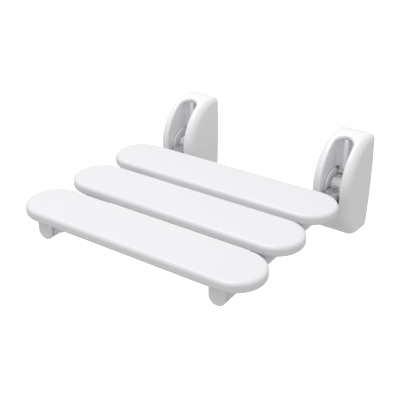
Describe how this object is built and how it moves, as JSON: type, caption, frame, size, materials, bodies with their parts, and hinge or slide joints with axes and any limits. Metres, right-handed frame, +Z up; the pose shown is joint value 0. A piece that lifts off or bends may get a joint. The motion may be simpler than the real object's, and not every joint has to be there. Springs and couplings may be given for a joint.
{
  "type": "fold down wall seat",
  "caption": "Fold down wall seat: round-ended white slats on tubular steel arms that hinge up between moulded housings on the wall.",
  "frame": {"origin": "on the wall, midway between the two brackets, at the height of the hinge", "axes": "+X across the seat, +Y into the wall, +Z up; the seat is down"},
  "size_m": [0.38, 0.4055, 0.1612],
  "materials": {
    "arm_end_cap": "glossy white moulded plastic",
    "arm_hub": "satin stainless steel",
    "arm_tube": "polished stainless steel tube",
    "hinge_discs": "satin white moulded plastic",
    "housing": "glossy white moulded plastic",
    "housing_screws": "stainless steel",
    "hub_pins": "ground stainless steel",
    "pin_clips": "spring stainless steel",
    "pivot_bushes": "dark bearing plastic",
    "pivot_pins": "ground stainless steel",
    "saddle": "satin white moulded plastic",
    "slat": "glossy white moulded plastic",
    "slat_screws": "stainless steel",
    "stop_pins": "ground stainless steel",
    "stop_sleeves": "dark tough plastic",
    "wall_bracket": "satin stainless steel plate"
  },
  "bodies": {
    "wall_brackets": {"hinge_discs": "hinge_discs", "housing_left": "housing", "housing_right": "housing", "housing_screws": "housing_screws", "pin_clips": "pin_clips", "pivot_pins": "pivot_pins", "stop_pins": "stop_pins", "stop_sleeves": "stop_sleeves", "wall_bracket_left": "wall_bracket", "wall_bracket_right": "wall_bracket"},
    "seat": {"arm_end_cap_left": "arm_end_cap", "arm_end_cap_right": "arm_end_cap", "arm_hub_left": "arm_hub", "arm_hub_right": "arm_hub", "arm_tube_left": "arm_tube", "arm_tube_right": "arm_tube", "hub_pins": "hub_pins", "pivot_bushes": "pivot_bushes", "saddle_front_left": "saddle", "saddle_front_right": "saddle", "saddle_middle_left": "saddle", "saddle_middle_right": "saddle", "saddle_rear_left": "saddle", "saddle_rear_right": "saddle", "slat_front": "slat", "slat_middle": "slat", "slat_rear": "slat", "slat_screws": "slat_screws"}
  },
  "joints": [
    {"name": "seat_fold", "type": "hinge", "parent": "wall_brackets", "child": "seat", "pos_m": [0, -0.044, 0], "axis": [-1, 0, 0], "range_deg": [0, 90]}
  ]
}
